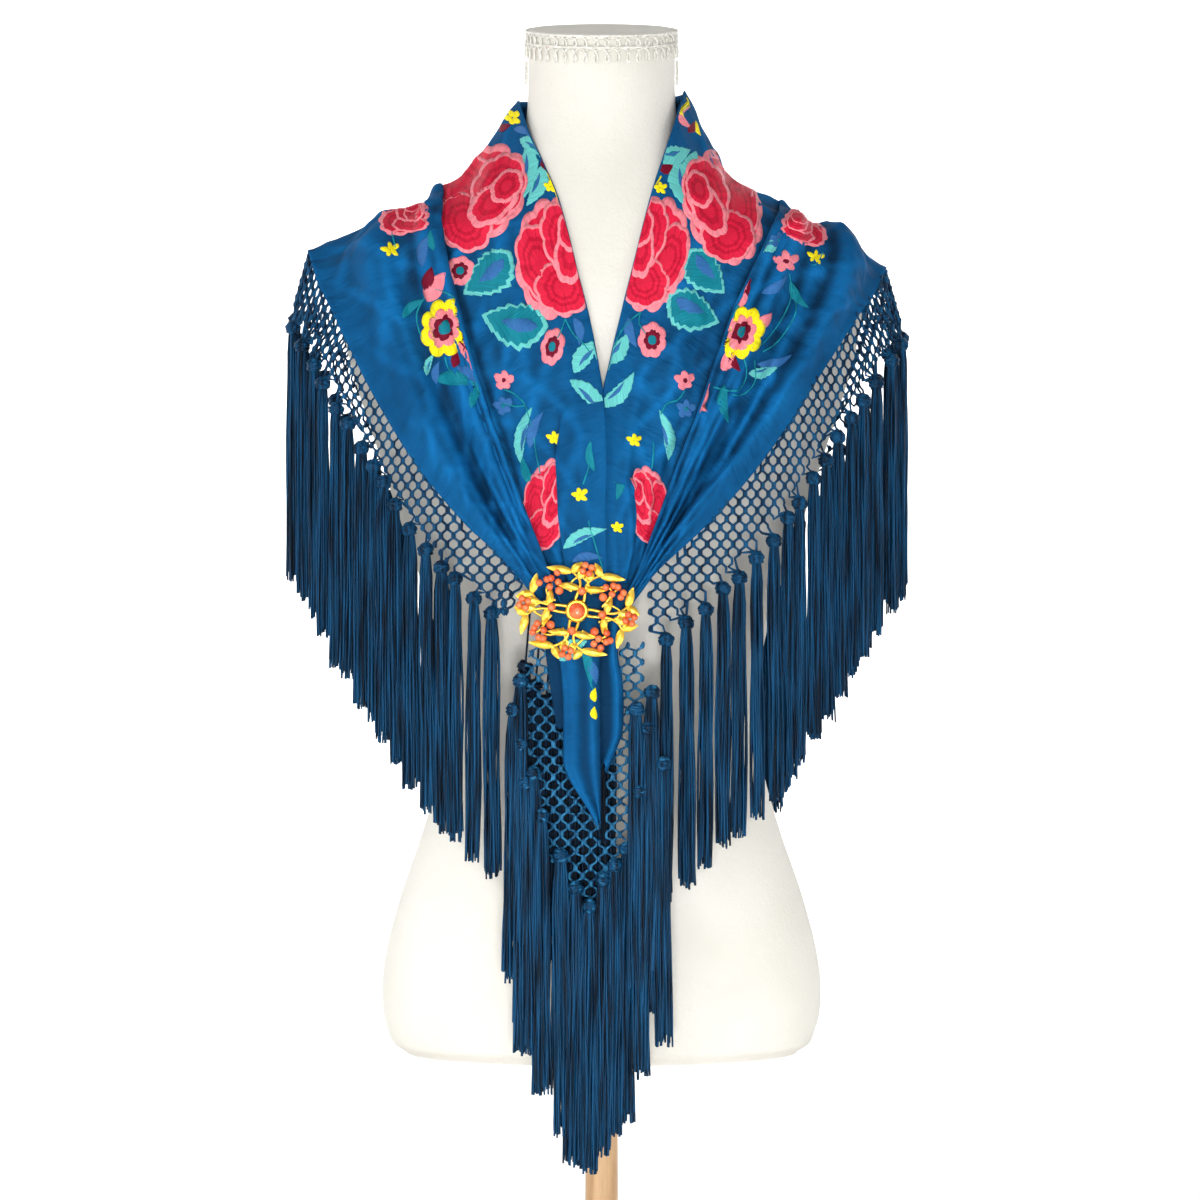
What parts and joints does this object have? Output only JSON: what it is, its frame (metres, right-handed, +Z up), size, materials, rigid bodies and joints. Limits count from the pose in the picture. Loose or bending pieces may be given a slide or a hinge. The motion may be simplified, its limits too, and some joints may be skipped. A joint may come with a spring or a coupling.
{
  "type": "flamenco shawl on a limbless dress form",
  "caption": "A blue embroidered triangular shawl with knotted net and silk tassel fringe, wrapped over the shoulders of a limbless dress form and pinned in front with a gilt and coral brooch.",
  "frame": {"origin": "the centre of the underside of the round stand base, on the surface that the part stands on", "axes": "+Z up; the front of the form and the brooch face -Y; +X is the viewer's right when facing the front"},
  "size_m": [0.4791, 0.3202, 1.0327],
  "materials": {
    "crepe": "blue silk crepe with a soft sheen and satin-stitch flowers",
    "net_cord": "deep blue silk cord knotted into an open diamond net",
    "fringe_silk": "deep blue twisted silk tassels, satin sheen",
    "form_cotton": "cream cotton cover, matt",
    "form_braid": "off-white looped gimp braid",
    "stand_wood": "pale turned wood, satin lacquer",
    "gilt": "gilt metal, polished",
    "coral": "polished coral-orange beads"
  },
  "bodies": {
    "root": {"back_panel": "crepe", "collar_fold": "crepe", "left_front_inner": "crepe", "left_front_outer": "crepe", "left_front_band": "crepe", "right_front_inner": "crepe", "right_front_outer": "crepe", "right_front_band": "crepe", "tail_left_lobe": "crepe", "tail_right_lobe": "crepe", "tail_under_ply": "crepe", "left_front_net": "net_cord", "right_front_net": "net_cord", "left_back_net": "net_cord", "right_back_net": "net_cord", "tail_left_net": "net_cord", "tail_right_net": "net_cord", "left_front_fringe": "fringe_silk", "right_front_fringe": "fringe_silk", "left_back_fringe": "fringe_silk", "right_back_fringe": "fringe_silk", "tail_left_fringe": "fringe_silk", "tail_middle_fringe": "fringe_silk", "tail_right_fringe": "fringe_silk", "form_torso": "form_cotton", "form_neck_cap": "form_cotton", "neck_braid": "form_braid", "neck_cord_left": "form_braid", "neck_cord_right": "form_braid", "stand_base": "stand_wood", "stand_pole": "stand_wood", "brooch_sprays": "gilt", "brooch_bezel": "gilt", "brooch_stone": "coral", "brooch_beads_1": "coral", "brooch_beads_2": "coral", "brooch_beads_3": "coral", "brooch_beads_4": "coral", "brooch_beads_5": "coral", "brooch_beads_6": "coral", "brooch_beads_7": "coral", "brooch_beads_8": "coral"}
  },
  "joints": []
}
